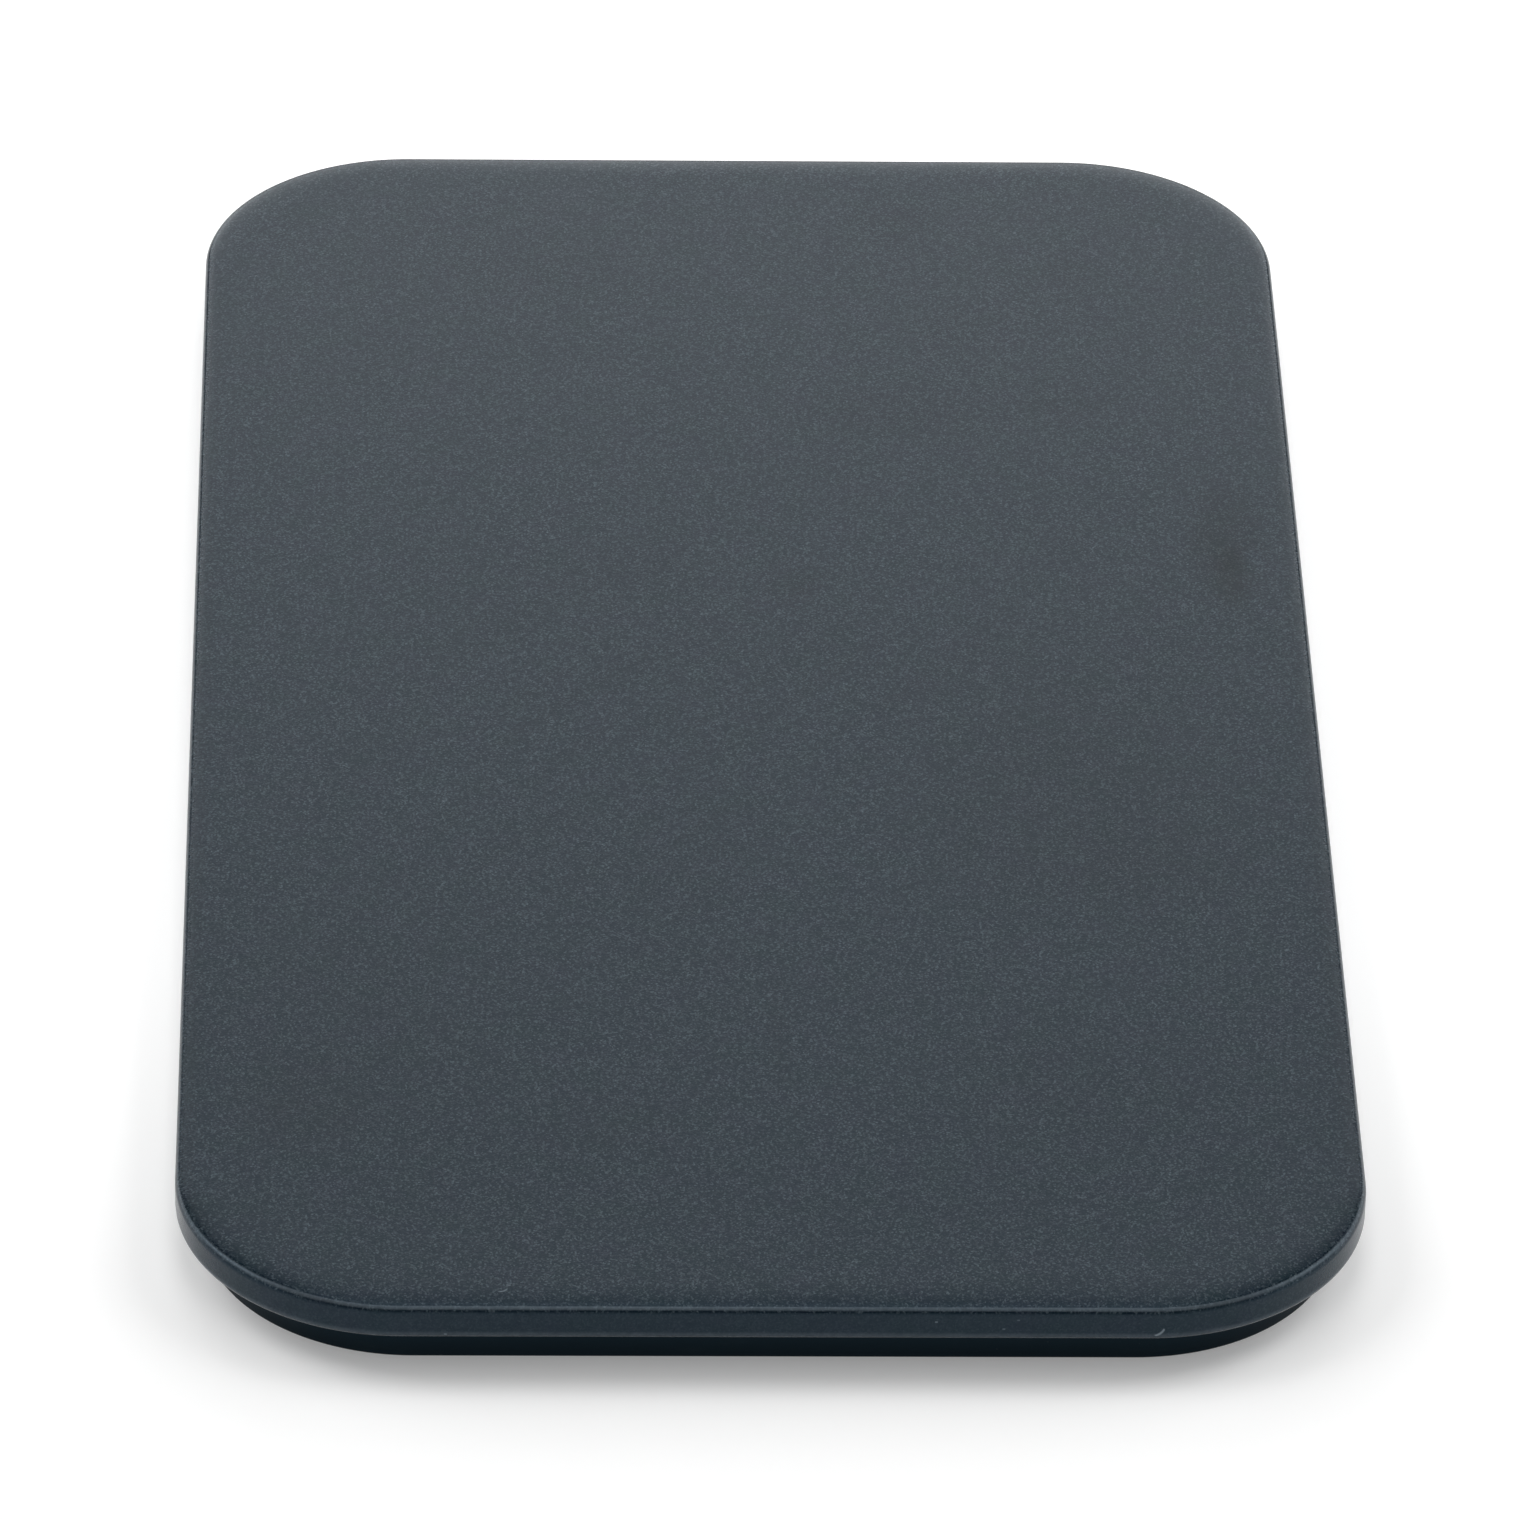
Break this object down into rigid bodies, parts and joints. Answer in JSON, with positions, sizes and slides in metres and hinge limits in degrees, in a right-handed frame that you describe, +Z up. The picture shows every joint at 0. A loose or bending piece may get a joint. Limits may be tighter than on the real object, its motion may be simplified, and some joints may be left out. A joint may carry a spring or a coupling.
{
  "type": "massage stone",
  "caption": "Flat rectangular massage stone: a honed basalt slab with wide corner radii and eased rims, bonded to an inset silicone base that it rests on.",
  "frame": {"origin": "middle of the resting face, which is the flat underside of the silicone base", "axes": "+X across the slab, +Y along it, +Z up out of the working face"},
  "size_m": [0.1, 0.185, 0.0068],
  "materials": {
    "honed_basalt": "satin",
    "adhesive_film": "satin",
    "silicone_rubber": "satin"
  },
  "bodies": {
    "root": {"stone_slab": "honed_basalt", "adhesive_sheet": "adhesive_film", "silicone_base": "silicone_rubber"}
  },
  "joints": []
}
